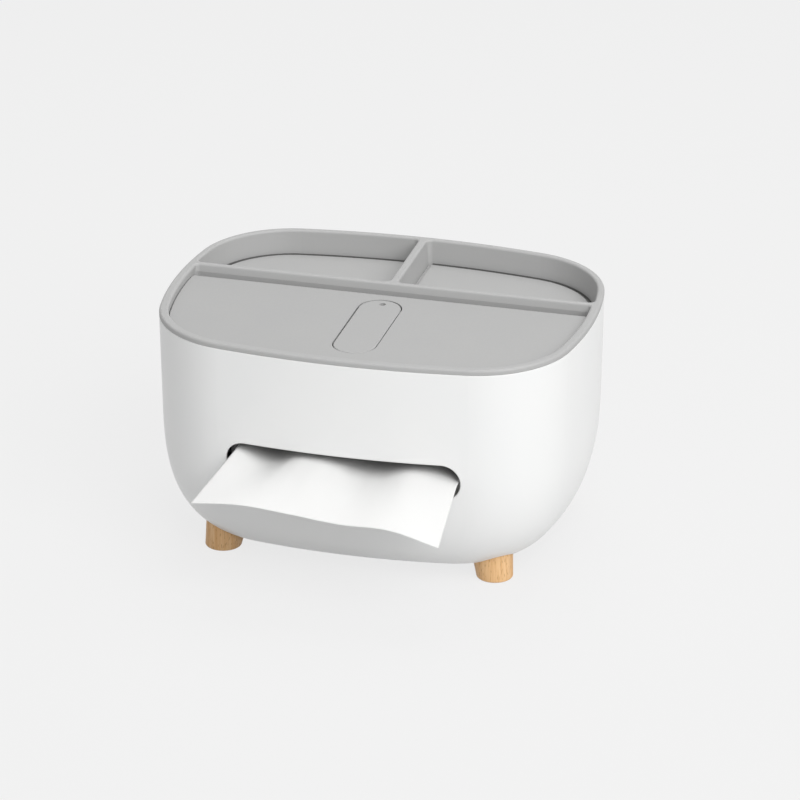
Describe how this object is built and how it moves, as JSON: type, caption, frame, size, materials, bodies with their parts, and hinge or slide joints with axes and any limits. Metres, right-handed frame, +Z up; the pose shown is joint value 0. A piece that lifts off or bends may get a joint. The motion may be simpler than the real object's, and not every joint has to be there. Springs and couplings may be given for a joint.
{
  "type": "tissue box organizer",
  "caption": "Rounded tissue box on splayed wooden feet, with a slot in its bowed front, and a lift-off tray lid with open compartments and a tip-up phone prop.",
  "frame": {"origin": "on the ground below the middle of the body, in the plane of the foot bottoms", "axes": "+X to the right, -Y out of the slotted front, +Z up"},
  "size_m": [0.21, 0.1946, 0.12],
  "materials": {
    "white_abs": "satin moulded",
    "grey_abs": "fine matt moulded",
    "beech": "clear matt lacquer",
    "steel": "zinc plated",
    "tissue": "soft crepe",
    "folded_tissue": "folded layers"
  },
  "bodies": {
    "base": {"body_shell": "white_abs", "tissue_pack": "folded_tissue", "foot_front_left": "beech", "foot_front_right": "beech", "foot_rear_left": "beech", "foot_rear_right": "beech", "foot_screw_front_left": "steel", "foot_screw_front_right": "steel", "foot_screw_rear_left": "steel", "foot_screw_rear_right": "steel"},
    "lid": {"lid_tray": "grey_abs", "front_deck": "grey_abs", "flap_pin": "steel"},
    "flap": {"prop_flap": "grey_abs"},
    "sheet": {"tissue_sheet": "tissue"}
  },
  "joints": [
    {"name": "lid_lift", "type": "slide", "parent": "base", "child": "lid", "axis": [0, 0, 1], "range_m": [0, 0.1]},
    {"name": "flap_tip", "type": "hinge", "parent": "lid", "child": "flap", "pos_m": [0, -0.0075, 0.113], "axis": [-1, 0, 0], "range_deg": [0, 105]},
    {"name": "sheet_pull", "type": "slide", "parent": "base", "child": "sheet", "axis": [0, -1, 0], "range_m": [0, 0.12]}
  ]
}
